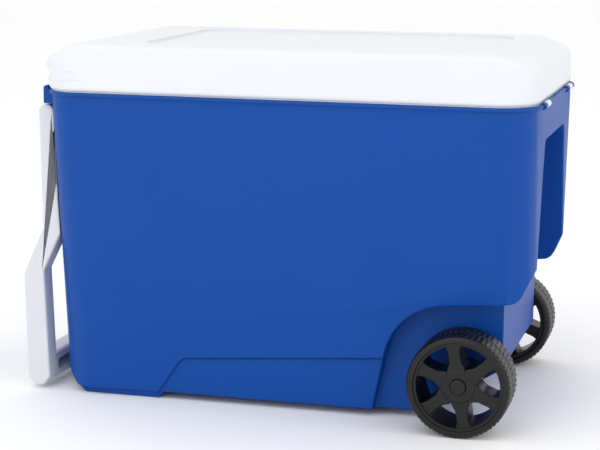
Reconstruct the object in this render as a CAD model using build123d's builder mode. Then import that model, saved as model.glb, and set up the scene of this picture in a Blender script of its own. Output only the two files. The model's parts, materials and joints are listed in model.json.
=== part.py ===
from build123d import *
import os
from math import cos, radians, sin

# A hard-sided picnic cooler on two wheels, in millimetres, +Z up.
# X runs along the length, with the tow handle at -X and the wheels at +X. The origin is on the floor,
# below the middle of the overall length, on the centre plane.

# ---- driving dimensions -------------------------------------------------------------------------
tub_x = 22.5  # the drawing's datum, forward of the origin by half of what the handle stands out
wall_mid = -2.5  # middle between the end walls, from that datum
rim_z = 377.0  # top of the tub, under the lid
rim_half = (296.2, 184.0)  # rim bead, half length and half width
top_half = (293.7, 181.5)  # wall just under the bead
foot_half = (291.2, 141.0)  # wall at floor level
top_corner, foot_corner = 48.0, 44.0  # corner radii in plan
bead = 4.0  # height of the rim bead
wall = 3.0  # shell wall
liner_wall = 2.5

base_z = 8.7  # underside of the base, behind the foot
foot_span = (-263.0, -166.0)
foot_half_y = 134.0
foot_rise = 6.0  # length of the slope from the foot up to the base
heel_x = 164.0  # where the base starts to rise towards the wheel end
tongue_x, tongue_z = 254.5, 67.0  # end face of the narrow block between the wheels, and its lower edge
tongue_half_y = 124.0
overhang_z = 149.5  # underside of the tub where it passes over the wheels

axle_x, axle_z, axle_r = 214.5, 60.0, 5.0
axle_tube_r = 9.0
wheel_r = 60.0
wheel_in, wheel_out = 140.0, 194.0  # distances of the wheel's faces from the centre plane
running = 0.05  # radial clearance of a running fit
side_play = 0.3  # gap beside a washer

lid_z = 377.3  # underside of the lid's skirt
lid_top_z = 433.5
lid_wall = 3.0
plug_depth = 10.0

hinge_x, hinge_z = 292.8, 375.0
hinge_r, hinge_pin_r = 3.8, 1.8
hinge_y = 100.0  # distance of each hinge's middle from the centre plane
lid_knuckle, body_knuckle = 26.0, 14.0  # knuckle lengths
knuckle_gap = 0.5
hinge_half = lid_knuckle / 2 + knuckle_gap + body_knuckle  # half the length of a hinge and of its pin

pivot_x, pivot_z, pivot_r = -307.5, 347.4, 4.0  # tow handle pivot
arm_in, arm_out = 112.0, 138.0
arm_gap = 1.2  # between the folded handle and the end wall
lug_in, lug_out, lug_r = 90.0, 110.0, 11.0

far = 400.0  # longer than anything that is cut


# ---- planes -------------------------------------------------------------------------------------
def level(z, x=0.0):
    """Horizontal plane at height z, about a point on the tub's centre plane."""
    return Plane((tub_x + x, 0, z))


def upright(y):
    """Plane facing -Y: its first axis is X from the datum, its second is height."""
    return Plane((tub_x, y, 0), x_dir=(1, 0, 0), z_dir=(0, -1, 0))


def endwise(x):
    """Plane facing +X: its first axis is Y, its second is height."""
    return Plane((tub_x + x, 0, 0), x_dir=(0, 1, 0), z_dir=(1, 0, 0))


def half_at(z):
    """Half length, half width and corner radius of the tub's wall at a height."""
    t = z / rim_z
    return [a + t * (b - a) for a, b in zip((*foot_half, foot_corner), (*top_half, top_corner))]


def side_plane(start, depth, turn):
    """Plane along the sloping front wall: depth mm in from it at x = start, turned in towards +X."""
    slope = (top_half[1] - foot_half[1]) / rim_z
    across = Vector(cos(radians(turn)), sin(radians(turn)), 0)
    up = Vector(0, -slope, 1)
    return Plane((tub_x + start, -foot_half[1] + depth, 0), x_dir=across, z_dir=across.cross(up))


def finish(piece, label):
    """Name a finished piece and write it to its own file."""
    piece.label = label
    export_step(piece, f"parts/{label}.step")


os.makedirs("parts", exist_ok=True)

# ---- tub outlines -------------------------------------------------------------------------------
underside = [
    (-340, 71), (foot_span[0], 0), (foot_span[1], 0), (foot_span[1] + foot_rise, base_z),
    (heel_x, base_z), (tongue_x, tongue_z), (tongue_x, overhang_z), (274, overhang_z + 1.5),
    (290.5, 188), (340, 296), (340, -60), (-340, -60),
]
arch = [(96, -20), (131.5, 138.7), (360, 157.8), (360, -20)]  # its second point is rounded off
arch_r = 80.0
pocket = [(-85, 331), (85, 331), (124, 140), (-124, 140)]

# The belt: below it the long walls step in a little. Each line is its height at two places along X.
belt_low, belt_high = ((-240, 106.0), (300, 153.5)), ((-240, 118.5), (300, 181.0))
belt_half_y = (153.0, 157.5)  # where the two lines lie on the wall
belt_start, belt_fade = -200.0, 4.0  # the step fades out before this place, over a wall turned so much
belt_depth, belt_turn = 2.8, 0.25  # the wall below the belt, and how it turns in towards the wheels
belt_rise = 5.0  # about how far the belt's steep face rises for each millimetre that it goes in
panel = [(-185, -20), (-133, 55), (150, 77), (150, -20)]  # shallow panel low on each long wall
panel_depth = 2.5

hood_x, hood_z, hood_half_y, hood_r = -307.5, (359.0, 381.0), 144.0, 4.0
hood_lip_x = -301.0  # back of the hood's upstand, clear of the lid
hood = [
    (-285, hood_z[0]), (hood_x, hood_z[0]), (hood_x, hood_z[1]), (hood_lip_x, hood_z[1]),
    (hood_lip_x, rim_z - 1), (-285, rim_z - 1),
]

# The liner's levels: height, middle in X, half length, half width, corner radius.
liner_well = [(48, -80, 162, 110, 26), (182, -82, 166, 118, 30)]
liner_top = [(172, -10, 240, 128, 32), (rim_z, -11, 247, 150, 36)]

# ---- lid outlines -------------------------------------------------------------------------------
# Each level: height, end faces, half width.
lid_outline = [(lid_z, (-298, 291), 183.5), (lid_top_z, (-306, 289.5), 177.5)]
lid_bevels = [
    [(-257, lid_top_z), (-330, 401), (-330, 480), (-257, 480)],
    [(246, lid_top_z), (330, 408.3), (330, 480), (246, 480)],
]
recess_x, recess_half, recess_corner, recess_depth = 18.0, (206.0, 136.0), 36.0, 3.0
groove_z = (391.0, 402.0)
groove_end_x = -205.0  # the groove runs round the handle end, back to here on each long side
groove_core = [(-200, 186), (-289, 176), (-289, -176), (-200, -186)]  # what the groove leaves standing
plug_x, plug_half, plug_corner = -11.0, (241.0, 143.0), 32.0

# ---- tow handle, as seen from the front -----------------------------------------------------
eye_r = 10.0
arm = [
    (-316.5, pivot_z), (-297.5, pivot_z), (-289, 330), (-289, 203), (-314.3, 151), (-309.5, 16),
    (-318, 5), (-330, 5), (-338, 14), (-341.5, 145), (-314.5, 205),
]
arm_fillet = 7.0
grip_x, grip_z, grip_corner = (-338, -311), (8, 42), 5.0
grip_slot, grip_slot_end = 14.0, 6.0  # square groove along the grip, and how far short of an arm it stops

# ---- wheels ---------------------------------------------------------------------------------
ring_in = (48.5, 46.5)  # the rim's opening, at the outer and at the inner face
lip_r, lip_depth = 52.0, 2.5
hub_r, hub_out = 19.5, 190.0
spokes, spoke_width, spoke_angle, spoke_y = 6, 14.0, 38.5, (155.0, 189.0)
spoke_root = 3.0  # how far a spoke runs on into the hub and the rim
bush_r, bush_flange_r, bush_flange_t = 8.0, 11.0, 1.5
washer_r, washer_t = 11.0, 1.3
seat_y = 180.0  # floor of the seat for the cap
cap_r, cap_out, cap_edge = 9.2, 193.5, 2.0
cap_room = 6.0  # length of the seat that is left for the end of the axle
nut_r, nut_t = 8.0, 2.0
hub_in = tongue_half_y + 2 * side_play + washer_t + bush_flange_t


def grow(by):
    """Widen the open sketch by a wall thickness, keeping its corners."""
    if by:
        offset(amount=by, kind=Kind.INTERSECTION)


def belt_line(half_y):
    """The belt's slanting face, as its two end points at a distance from the centre plane."""
    t = (half_y - belt_half_y[0]) / (belt_half_y[1] - belt_half_y[0])
    return [(low[0], low[1] + t * (high[1] - low[1])) for low, high in zip(belt_low, belt_high)]


def hinge_rod(side, radius, half_length, end=0):
    """A rod on the hinges' axis, about the middle of one hinge or of the outer knuckle at its end."""
    along = end * (hinge_half - body_knuckle / 2)
    with BuildPart() as rod:
        with BuildSketch(upright(side * hinge_y + along)):
            with Locations((hinge_x, hinge_z)):
                Circle(radius)
        extrude(amount=half_length, both=True)
    return rod.part


# ---- tub ----------------------------------------------------------------------------------------
def side_cut(inset):
    """What the belt and the low panel take off the front wall, down to a wall thickness inside it."""
    with BuildPart() as cut:
        for half_y in (110.0, 170.0):
            (x0, z0), (x1, z1) = belt_line(half_y)
            with BuildSketch(upright(-half_y)):
                with BuildLine():
                    Polyline((x0, -far), (x0, z0), (x1, z1), (x1, -far), close=True)
                make_face()
                grow(belt_rise * inset)
        loft(ruled=True)
        for start, depth, turn in (
            (belt_low[0][0], 0.0, belt_fade),
            (belt_start, belt_depth, belt_turn),
        ):
            with BuildSketch(side_plane(start, depth + inset, turn)):
                Rectangle(3 * far, 3 * far)
            extrude(amount=-far, mode=Mode.SUBTRACT)
        with BuildSketch(side_plane(belt_start, belt_depth + panel_depth + inset, belt_turn)):
            with BuildLine():
                Polyline([(x - belt_start, z) for x, z in panel], close=True)
            make_face()
            grow(inset)
        extrude(amount=far)
    return cut.part


def wall_form(inset):
    """The tapered block inside the tub's four walls, from the floor to the rim."""
    with BuildPart() as form:
        for z in (0, rim_z):
            half_x, half_y, corner = half_at(z)
            with BuildSketch(level(z, wall_mid)):
                RectangleRounded(2 * (half_x - inset), 2 * (half_y - inset), corner - inset)
        loft(ruled=True)
    return form.part


def tub_form(inset):
    """The tub's outer form without its bead, or the same form drawn in by a wall thickness."""
    block = 100.0  # size of the blocks cut away beside the foot
    with BuildPart() as form:
        add(wall_form(inset))
        with BuildSketch(upright(0)):
            with BuildLine():
                Polyline(underside, close=True)
            make_face()
            grow(inset)
        extrude(amount=far, both=True, mode=Mode.SUBTRACT)
        with BuildSketch(endwise(-far)):
            for side in (-1, 1):
                with Locations((side * (foot_half_y - inset + block / 2), base_z + inset - block / 2)):
                    Rectangle(block, block)
        extrude(amount=2 * far, mode=Mode.SUBTRACT)
        for side in (-1, 1):
            with BuildSketch(upright(side * (tongue_half_y - inset))):
                with BuildLine():
                    Polyline(arch, close=True)
                make_face()
                fillet(vertices().sort_by(Axis.Y)[-2:].sort_by(Axis.X)[0], arch_r)
                grow(inset)
            extrude(amount=-side * far, mode=Mode.SUBTRACT)
        with BuildSketch(endwise(tongue_x - inset)):
            with BuildLine():
                Polyline(pocket, close=True)
            make_face()
            grow(inset)
        extrude(amount=far, mode=Mode.SUBTRACT)
        add(side_cut(inset), mode=Mode.SUBTRACT)
        add(mirror(side_cut(inset), about=Plane.XZ), mode=Mode.SUBTRACT)
    return form.part


def liner_form(inset):
    """The liner's outer form, or its cavity: a deep well and a raised floor over the wheels."""
    with BuildPart() as form:
        for levels in (liner_well, liner_top):
            for z, x, half_x, half_y, corner in levels:
                with BuildSketch(level(z + (inset if z == levels[0][0] else 0), x)):
                    RectangleRounded(2 * (half_x - inset), 2 * (half_y - inset), corner - inset)
            loft(ruled=True)
    return form.part


shell_inside = tub_form(wall)
cavity = liner_form(liner_wall)

with BuildPart() as tub_shell:
    add(tub_form(0))
    with BuildSketch(level(rim_z - bead, wall_mid)):
        RectangleRounded(2 * rim_half[0], 2 * rim_half[1], top_corner + rim_half[1] - top_half[1])
    extrude(amount=bead)
    # hood and lugs that carry the tow handle
    with BuildSketch(upright(0)):
        with BuildLine():
            Polyline(hood, close=True)
        make_face()
        fillet(vertices().sort_by(Axis.X)[:2].sort_by(Axis.Y)[-1], hood_r)
    extrude(amount=hood_half_y, both=True)
    for side in (-1, 1):
        with BuildSketch(upright(side * lug_in)):
            with Locations((pivot_x, pivot_z)):
                Circle(lug_r)
            with Locations((pivot_x, pivot_z)):
                Rectangle(2 * lug_r, 2 * lug_r, align=(Align.MIN, Align.CENTER))
        extrude(amount=-side * (lug_out - lug_in))
    # the hinge's outer knuckles, and room in the bead for the lid's one
    for side in (-1, 1):
        add(hinge_rod(side, hinge_r + knuckle_gap, lid_knuckle / 2 + knuckle_gap), mode=Mode.SUBTRACT)
        for end in (-1, 1):
            add(hinge_rod(side, hinge_r, body_knuckle / 2, end))
        add(hinge_rod(side, hinge_pin_r, hinge_half), mode=Mode.SUBTRACT)
    add(shell_inside, mode=Mode.SUBTRACT)
    with BuildSketch(upright(0)):
        with Locations((axle_x, axle_z)):
            Circle(axle_tube_r)
    extrude(amount=tongue_half_y, both=True)
    with BuildSketch(upright(0)):
        with Locations((axle_x, axle_z)):
            Circle(axle_r + running)
    extrude(amount=tongue_half_y + 1, both=True, mode=Mode.SUBTRACT)
    with BuildSketch(upright(0)):
        with Locations((pivot_x, pivot_z)):
            Circle(pivot_r)
    extrude(amount=lug_out + 1, both=True, mode=Mode.SUBTRACT)
finish(tub_shell.part, "tub_shell")

with BuildPart() as tub_liner:
    add(liner_form(0))
    half_x, half_y, corner = half_at(rim_z - liner_wall)
    with BuildSketch(level(rim_z - liner_wall, wall_mid)):
        RectangleRounded(2 * (half_x - wall), 2 * (half_y - wall), corner - wall)
    extrude(amount=liner_wall)
    add(cavity, mode=Mode.SUBTRACT)
finish(tub_liner.part, "tub_liner")

with BuildPart() as tub_foam:
    add(shell_inside)
    with BuildSketch(level(rim_z - liner_wall)):
        Rectangle(3 * far, 3 * far)
    extrude(amount=far, mode=Mode.SUBTRACT)
    add(liner_form(0), mode=Mode.SUBTRACT)
    with BuildSketch(upright(0)):
        with Locations((axle_x, axle_z)):
            Circle(axle_tube_r)
    extrude(amount=far, both=True, mode=Mode.SUBTRACT)
finish(tub_foam.part, "tub_foam")


# ---- lid ----------------------------------------------------------------------------------------
def lid_form(inset):
    """The lid's outer form, or the same form drawn in by a wall thickness; open below."""
    with BuildPart() as form:
        for z, (low_x, high_x), half_y in lid_outline:
            with BuildSketch(level(z - (inset if z == lid_top_z else 0), (low_x + high_x) / 2)):
                RectangleRounded(high_x - low_x - 2 * inset, 2 * (half_y - inset), top_corner - inset)
        loft(ruled=True)
        with BuildSketch(upright(0)):
            for bevel in lid_bevels:
                with BuildLine():
                    Polyline(bevel, close=True)
                make_face()
            grow(inset)
        extrude(amount=far, both=True, mode=Mode.SUBTRACT)
        with BuildSketch(level(lid_top_z - recess_depth - inset, recess_x)):
            RectangleRounded(2 * (recess_half[0] + inset), 2 * (recess_half[1] + inset), recess_corner)
        extrude(amount=far, mode=Mode.SUBTRACT)
    return form.part


def groove_form(inset):
    """The finger groove round the lid's handle end, or the room it needs behind a wall thickness."""
    with BuildPart() as form:
        with BuildSketch(level(groove_z[0] - inset)):
            with Locations((groove_end_x + inset, 0)):
                Rectangle(far, 3 * rim_half[1], align=(Align.MAX, Align.CENTER))
            with BuildLine():
                Polyline([(x + inset, y - inset if y > 0 else y + inset) for x, y in groove_core], close=True)
            make_face(mode=Mode.SUBTRACT)
        extrude(amount=groove_z[1] - groove_z[0] + 2 * inset)
    return form.part


with BuildPart() as lid_inside:
    add(lid_form(lid_wall))
    add(groove_form(lid_wall), mode=Mode.SUBTRACT)

with BuildPart() as lid_cover:
    add(lid_form(0))
    add(groove_form(0), mode=Mode.SUBTRACT)
    for side in (-1, 1):
        for end in (-1, 1):
            knuckle_room = hinge_rod(side, hinge_r + knuckle_gap, body_knuckle / 2 + knuckle_gap, end)
            add(knuckle_room, mode=Mode.SUBTRACT)
        add(hinge_rod(side, hinge_r, lid_knuckle / 2))
        add(hinge_rod(side, hinge_pin_r + running, lid_knuckle / 2), mode=Mode.SUBTRACT)
    add(lid_inside, mode=Mode.SUBTRACT)
finish(lid_cover.part, "lid_cover")


def plug_block(low, high, inset=0.0):
    """Add or take away a slab of the plug that stands down into the tub, between two heights."""
    with BuildPart() as slab:
        with BuildSketch(level(low, plug_x)):
            RectangleRounded(2 * (plug_half[0] - inset), 2 * (plug_half[1] - inset), plug_corner)
        extrude(amount=high - low)
    return slab.part


plug_z = lid_z - plug_depth

with BuildPart() as lid_liner:
    add(lid_inside)
    with BuildSketch(level(lid_z + liner_wall)):
        Rectangle(3 * far, 3 * far)
    extrude(amount=far, mode=Mode.SUBTRACT)
    add(plug_block(plug_z, lid_z))
    add(plug_block(plug_z + liner_wall, lid_z + liner_wall, liner_wall), mode=Mode.SUBTRACT)
finish(lid_liner.part, "lid_liner")

with BuildPart() as lid_foam:
    add(lid_inside)
    with BuildSketch(level(lid_z + liner_wall)):
        Rectangle(3 * far, 3 * far)
    extrude(amount=-far, mode=Mode.SUBTRACT)
    add(plug_block(plug_z + liner_wall, lid_z + liner_wall, liner_wall))
finish(lid_foam.part, "lid_foam")

# ---- tow handle ---------------------------------------------------------------------------------
grip_mid = ((grip_x[0] + grip_x[1]) / 2, (grip_z[0] + grip_z[1]) / 2)

with BuildPart() as tow_handle:
    for side in (-1, 1):
        with BuildSketch(upright(side * arm_in)):
            with BuildLine():
                Polyline(arm, close=True)
            make_face()
            fillet(vertices(), arm_fillet)
            with Locations((pivot_x, pivot_z)):
                Circle(eye_r)
        extrude(amount=-side * (arm_out - arm_in))
    # the arms' backs follow the end wall and its corners
    add(wall_form(-arm_gap), mode=Mode.SUBTRACT)
    with BuildSketch(upright(0)):
        with Locations(grip_mid):
            RectangleRounded(grip_x[1] - grip_x[0], grip_z[1] - grip_z[0], grip_corner)
    extrude(amount=(arm_in + arm_out) / 2, both=True)
    with BuildSketch(upright(0)):
        with Locations((grip_x[1], grip_mid[1])):
            Rectangle(2 * grip_slot, grip_slot)
    extrude(amount=arm_in - grip_slot_end, both=True, mode=Mode.SUBTRACT)
    with BuildSketch(upright(0)):
        with Locations((pivot_x, pivot_z)):
            Circle(pivot_r + running)
    extrude(amount=arm_out - grip_slot_end, both=True, mode=Mode.SUBTRACT)
finish(tow_handle.part, "tow_handle")

# ---- wheel, its bush and its cap, drawn for the front side --------------------------------------
with BuildPart() as wheel:
    with BuildSketch(upright(-wheel_in)):
        with Locations((axle_x, axle_z)):
            Circle(wheel_r)
    extrude(amount=wheel_out - wheel_in)
    for y, radius in ((-wheel_out, ring_in[0]), (-wheel_in, ring_in[1])):
        with BuildSketch(upright(y)):
            with Locations((axle_x, axle_z)):
                Circle(radius)
    loft(mode=Mode.SUBTRACT)
    for y, out in ((-wheel_out, -1), (-wheel_in, 1)):
        with BuildSketch(upright(y)):
            with Locations((axle_x, axle_z)):
                Circle(lip_r)
        extrude(amount=out * lip_depth, mode=Mode.SUBTRACT)
    with BuildSketch(upright(-spoke_y[0])):
        with Locations((axle_x, axle_z)):
            with PolarLocations((hub_r + ring_in[0]) / 2, spokes, start_angle=spoke_angle):
                Rectangle(ring_in[0] - hub_r + 2 * spoke_root, spoke_width)
    extrude(amount=spoke_y[1] - spoke_y[0])
    with BuildSketch(upright(-hub_in)):
        with Locations((axle_x, axle_z)):
            Circle(hub_r)
    extrude(amount=hub_out - hub_in)
    with BuildSketch(upright(-hub_in)):
        with Locations((axle_x, axle_z)):
            Circle(bush_r)
    extrude(amount=far, mode=Mode.SUBTRACT)
    with BuildSketch(upright(-seat_y)):
        with Locations((axle_x, axle_z)):
            Circle(cap_r)
    extrude(amount=far, mode=Mode.SUBTRACT)


def ring(inner, outer, near, away):
    """A ring round the axle on the front side, between two distances from the centre plane."""
    with BuildPart() as part:
        with BuildSketch(upright(-near)):
            with Locations((axle_x, axle_z)):
                Circle(outer)
                Circle(inner, mode=Mode.SUBTRACT)
        extrude(amount=away - near)
    return part.part


with BuildPart() as wheel_bush:
    add(ring(axle_r + running, bush_r, hub_in, seat_y))
    add(ring(axle_r + running, bush_flange_r, hub_in - bush_flange_t, hub_in))

with BuildPart() as hub_cap:
    with BuildSketch(upright(-seat_y - cap_room)):
        with Locations((axle_x, axle_z)):
            Circle(cap_r)
    extrude(amount=cap_out - seat_y - cap_room)
    fillet(edges().group_by(Axis.Y)[0], cap_edge)

washer_inner = ring(
    axle_r + running, washer_r, tongue_half_y + side_play, tongue_half_y + side_play + washer_t
)
washer_outer = ring(axle_r + running, nut_r, seat_y + side_play, seat_y + side_play + washer_t)
nut_y = seat_y + 2 * side_play + washer_t
push_nut = ring(axle_r, nut_r, nut_y, nut_y + nut_t)

with BuildPart() as axle:
    with BuildSketch(upright(0)):
        with Locations((axle_x, axle_z)):
            Circle(axle_r)
    extrude(amount=seat_y + cap_room - 1, both=True)
    chamfer(edges(), 0.8)
finish(axle.part, "axle")

hinge_pin = hinge_rod(-1, hinge_pin_r, hinge_half)

with BuildPart() as handle_pin:
    with BuildSketch(upright(-lug_in)):
        with Locations((pivot_x, pivot_z)):
            Circle(pivot_r)
    extrude(amount=arm_out - grip_slot_end - side_play - lug_in)

for name, piece in {
    "wheel": wheel.part,
    "wheel_bush": wheel_bush.part,
    "hub_cap": hub_cap.part,
    "washer_inner": washer_inner,
    "washer_outer": washer_outer,
    "push_nut": push_nut,
    "hinge_pin": hinge_pin,
    "handle_pin": handle_pin.part,
}.items():
    finish(piece, f"{name}_front")
    finish(mirror(piece, about=Plane.XZ), f"{name}_back")
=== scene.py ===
"""The looks of a hard-sided picnic cooler on two wheels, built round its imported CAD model.

Lengths in the classes are millimetres. X is measured from the drawing's datum, which lies a little
forward of the model's origin; `spot` turns such a place into metres in the model's own frame.
"""

import json
import logging
from collections.abc import Callable, Iterator
from contextlib import contextmanager
from dataclasses import dataclass
from enum import Enum
from math import atan2, ceil, cos, degrees, pi, radians, sin, tan

import bpy
from mathutils import Matrix, Vector


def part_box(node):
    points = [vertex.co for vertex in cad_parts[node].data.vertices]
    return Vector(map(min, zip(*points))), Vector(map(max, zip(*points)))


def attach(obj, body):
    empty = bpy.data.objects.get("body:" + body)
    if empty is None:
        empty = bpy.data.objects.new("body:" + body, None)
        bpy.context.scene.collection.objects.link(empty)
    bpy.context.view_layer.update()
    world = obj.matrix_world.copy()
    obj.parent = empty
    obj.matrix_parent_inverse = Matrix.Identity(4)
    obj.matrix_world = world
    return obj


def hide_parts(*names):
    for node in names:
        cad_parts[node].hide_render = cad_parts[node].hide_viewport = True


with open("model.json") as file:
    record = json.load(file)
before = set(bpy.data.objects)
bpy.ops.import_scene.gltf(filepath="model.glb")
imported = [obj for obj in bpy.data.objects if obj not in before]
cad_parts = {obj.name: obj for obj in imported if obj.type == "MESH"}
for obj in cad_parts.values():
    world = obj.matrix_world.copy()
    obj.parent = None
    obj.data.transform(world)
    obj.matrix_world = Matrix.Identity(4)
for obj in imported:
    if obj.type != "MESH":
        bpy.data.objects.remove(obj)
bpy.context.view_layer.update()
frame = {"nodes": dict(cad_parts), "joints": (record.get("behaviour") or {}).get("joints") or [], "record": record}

log = logging.getLogger("cooler")

MM = 0.001
FAR = 400.0  # longer than anything that is cut
TURN_STEP = 7.5  # degrees between the points of a round stretch

JOINT_PLACES = {joint["name"]: Vector(joint["pos_m"]) / MM for joint in frame["joints"]}
WHEEL_FROM_DATUM = 214.5
DATUM = JOINT_PLACES["front_wheel_spin"].x - WHEEL_FROM_DATUM
AXLE_X, AXLE_Z = WHEEL_FROM_DATUM, JOINT_PLACES["front_wheel_spin"].z
HINGE_X, HINGE_Z = JOINT_PLACES["lid_hinge"].x - DATUM, JOINT_PLACES["lid_hinge"].z
PIVOT_X, PIVOT_Z = JOINT_PLACES["tow_handle_swing"].x - DATUM, JOINT_PLACES["tow_handle_swing"].z
RIM_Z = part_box("tub_liner")[1].z / MM
LID_Z = RIM_Z + 0.3
LID_TOP_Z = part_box("lid_cover")[1].z / MM


def spot(x: float, y: float, z: float) -> Vector:
    """Place in the model's frame, in metres, of a point given in millimetres from the datum."""
    return Vector((x + DATUM, y, z)) * MM


# ---- outlines -----------------------------------------------------------------------------------
@dataclass(frozen=True)
class Outline:
    """A closed flat outline: each corner is two coordinates and the radius that rounds it."""

    corners: tuple[tuple[float, float, float], ...]

    @classmethod
    def block(cls, low: tuple[float, float], high: tuple[float, float], radius: float = 0.0) -> "Outline":
        """A rectangle between two opposite corners, all four rounded alike.

        Args:
            low: the corner with the lower coordinates.
            high: the opposite corner.
            radius: radius of the rounded corners.

        Returns:
            The outline.
        """
        (u0, v0), (u1, v1) = low, high
        return cls(((u0, v0, radius), (u1, v0, radius), (u1, v1, radius), (u0, v1, radius)))

    @classmethod
    def disc(cls, u: float, v: float, radius: float, points: int = 48) -> "Outline":
        """A circle drawn with a number of points, about a middle."""
        turns = [2 * pi * k / points for k in range(points)]
        return cls(tuple((u + radius * cos(t), v + radius * sin(t), 0.0) for t in turns))

    def grown(self, by: float) -> "Outline":
        """The outline moved outwards all round, its corners kept.

        Args:
            by: distance, negative to move inwards.

        Returns:
            The new outline.
        """
        ends = [Vector(corner[:2]) for corner in self.corners]
        count = len(ends)
        pairs = [(ends[i], ends[(i + 1) % count]) for i in range(count)]
        area = sum(here.x * on.y - on.x * here.y for here, on in pairs)
        side = 1.0 if area > 0 else -1.0
        moved = []
        for i, (_, _, radius) in enumerate(self.corners):
            before = (ends[i] - ends[i - 1]).normalized()
            after = (ends[(i + 1) % count] - ends[i]).normalized()
            out_before = Vector((before.y, -before.x)) * side
            out_after = Vector((after.y, -after.x)) * side
            both = out_before + out_after
            shift = both * (2 * by / both.length_squared)
            convex = (before.x * after.y - before.y * after.x) * side > 0
            new_radius = max(radius + (by if convex else -by), 0.0) if radius else 0.0
            moved.append((ends[i].x + shift.x, ends[i].y + shift.y, new_radius))
        return Outline(tuple(moved))

    def points(self) -> list[tuple[float, float]]:
        """The outline's points, with an arc at each rounded corner."""
        ends = [Vector(corner[:2]) for corner in self.corners]
        drawn = []
        for i, (u, v, radius) in enumerate(self.corners):
            if not radius:
                drawn.append((u, v))
                continue
            here = ends[i]
            back = (ends[i - 1] - here).normalized()
            on = (ends[(i + 1) % len(ends)] - here).normalized()
            opening = back.angle(on)
            middle = here + (back + on).normalized() * (radius / sin(opening / 2))
            start = here + back * (radius / tan(opening / 2)) - middle
            end = here + on * (radius / tan(opening / 2)) - middle
            turn = start.angle_signed(end) * -1
            steps = max(2, ceil(abs(degrees(turn)) / TURN_STEP))
            for k in range(steps + 1):
                bent = Matrix.Rotation(turn * k / steps, 2) @ start + middle
                drawn.append((bent.x, bent.y))
        return drawn


class Facing(Enum):
    """The direction that a flat outline is extruded along."""

    ALONG = "x"
    ACROSS = "y"
    UP = "z"

    def place(self, u: float, v: float, depth: float) -> Vector:
        """Place of an outline's point at a distance along this direction."""
        if self is Facing.ALONG:
            return spot(depth, u, v)
        if self is Facing.ACROSS:
            return spot(u, depth, v)
        return spot(u, v, depth)


class Joint(Enum):
    """What one piece does to another where they meet."""

    CUT_AWAY = "DIFFERENCE"
    GROW_ON = "UNION"


# ---- finishes -----------------------------------------------------------------------------------
def linear(colour: str) -> tuple[float, float, float, float]:
    """Linear red, green, blue and alpha of an sRGB hex colour."""
    parts = [int(colour[i : i + 2], 16) / 255 for i in (0, 2, 4)]
    return (*(p / 12.92 if p <= 0.04045 else ((p + 0.055) / 1.055) ** 2.4 for p in parts), 1.0)


def add_node(
    tree: bpy.types.NodeTree, kind: str, settings: dict | None = None, links: dict | None = None
) -> bpy.types.Node:
    """Add a node with its settings and incoming links.

    Args:
        tree: the material's node tree.
        kind: the node's Blender type.
        settings: attribute names or input names, with their values.
        links: input names or numbers, each with the output socket that feeds it.

    Returns:
        The new node.
    """
    node = tree.nodes.new(kind)
    for key, value in (settings or {}).items():
        if hasattr(node, key) and key not in node.inputs:
            setattr(node, key, value)
        else:
            node.inputs[key].default_value = value
    for key, source in (links or {}).items():
        tree.links.new(source, node.inputs[key])
    return node


@dataclass(frozen=True)
class MouldedPlastic:
    """An injection- or blow-moulded thermoplastic: one colour, a fine grain and soft edges.

    The grain is spark-eroded into the mould; flow gives faint broad clouds in colour and gloss.
    """

    name: str
    colour: str
    cloud_colour: str  # where the flow left the colour a touch different
    roughness: float
    gloss: float  # specular level
    grain_mm: float  # distance between grains; drawn coarser than the real 0.3 mm so that it shows
    grain_depth_mm: float
    cloud_mm: float = 90.0
    edge_mm: float = 1.2  # radius that the mould leaves on every edge
    ior: float = 1.49
    glow_through: float = 0.0  # how much light a pale wall lets in

    def material(self) -> bpy.types.Material:
        """Build the material."""
        made = bpy.data.materials.new(self.name)
        made.use_nodes = True
        tree = made.node_tree
        shader = tree.nodes["Principled BSDF"]
        shader.inputs["IOR"].default_value = self.ior
        shader.inputs["Specular IOR Level"].default_value = self.gloss
        if self.glow_through:
            shader.inputs["Subsurface Weight"].default_value = self.glow_through
            shader.inputs["Subsurface Radius"].default_value = (1.0, 0.95, 0.9)
            shader.inputs["Subsurface Scale"].default_value = 2 * MM
        place = add_node(tree, "ShaderNodeTexCoord").outputs["Object"]
        clouds = add_node(
            tree, "ShaderNodeTexNoise",
            {"Scale": 1 / (self.cloud_mm * MM), "Detail": 3.0, "Roughness": 0.5}, {"Vector": place},
        )
        grain = add_node(
            tree, "ShaderNodeTexNoise",
            {"Scale": 1 / (self.grain_mm * MM), "Detail": 2.0, "Roughness": 0.6}, {"Vector": place},
        )
        tint = add_node(
            tree, "ShaderNodeMix",
            {"data_type": "RGBA"}, {0: clouds.outputs["Fac"]},
        )
        tint.inputs[6].default_value = linear(self.colour)
        tint.inputs[7].default_value = linear(self.cloud_colour)
        tree.links.new(tint.outputs[2], shader.inputs["Base Color"])
        sheen = add_node(
            tree, "ShaderNodeMapRange",
            {"To Min": self.roughness - 0.05, "To Max": self.roughness + 0.05},
            {"Value": clouds.outputs["Fac"]},
        )
        tree.links.new(sheen.outputs["Result"], shader.inputs["Roughness"])
        edges = add_node(tree, "ShaderNodeBevel", {"samples": 4, "Radius": self.edge_mm * MM})
        bump = add_node(
            tree, "ShaderNodeBump",
            {"Strength": 0.5, "Distance": self.grain_depth_mm * MM},
            {"Height": grain.outputs["Fac"], "Normal": edges.outputs["Normal"]},
        )
        tree.links.new(bump.outputs["Normal"], shader.inputs["Normal"])
        return made


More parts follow.
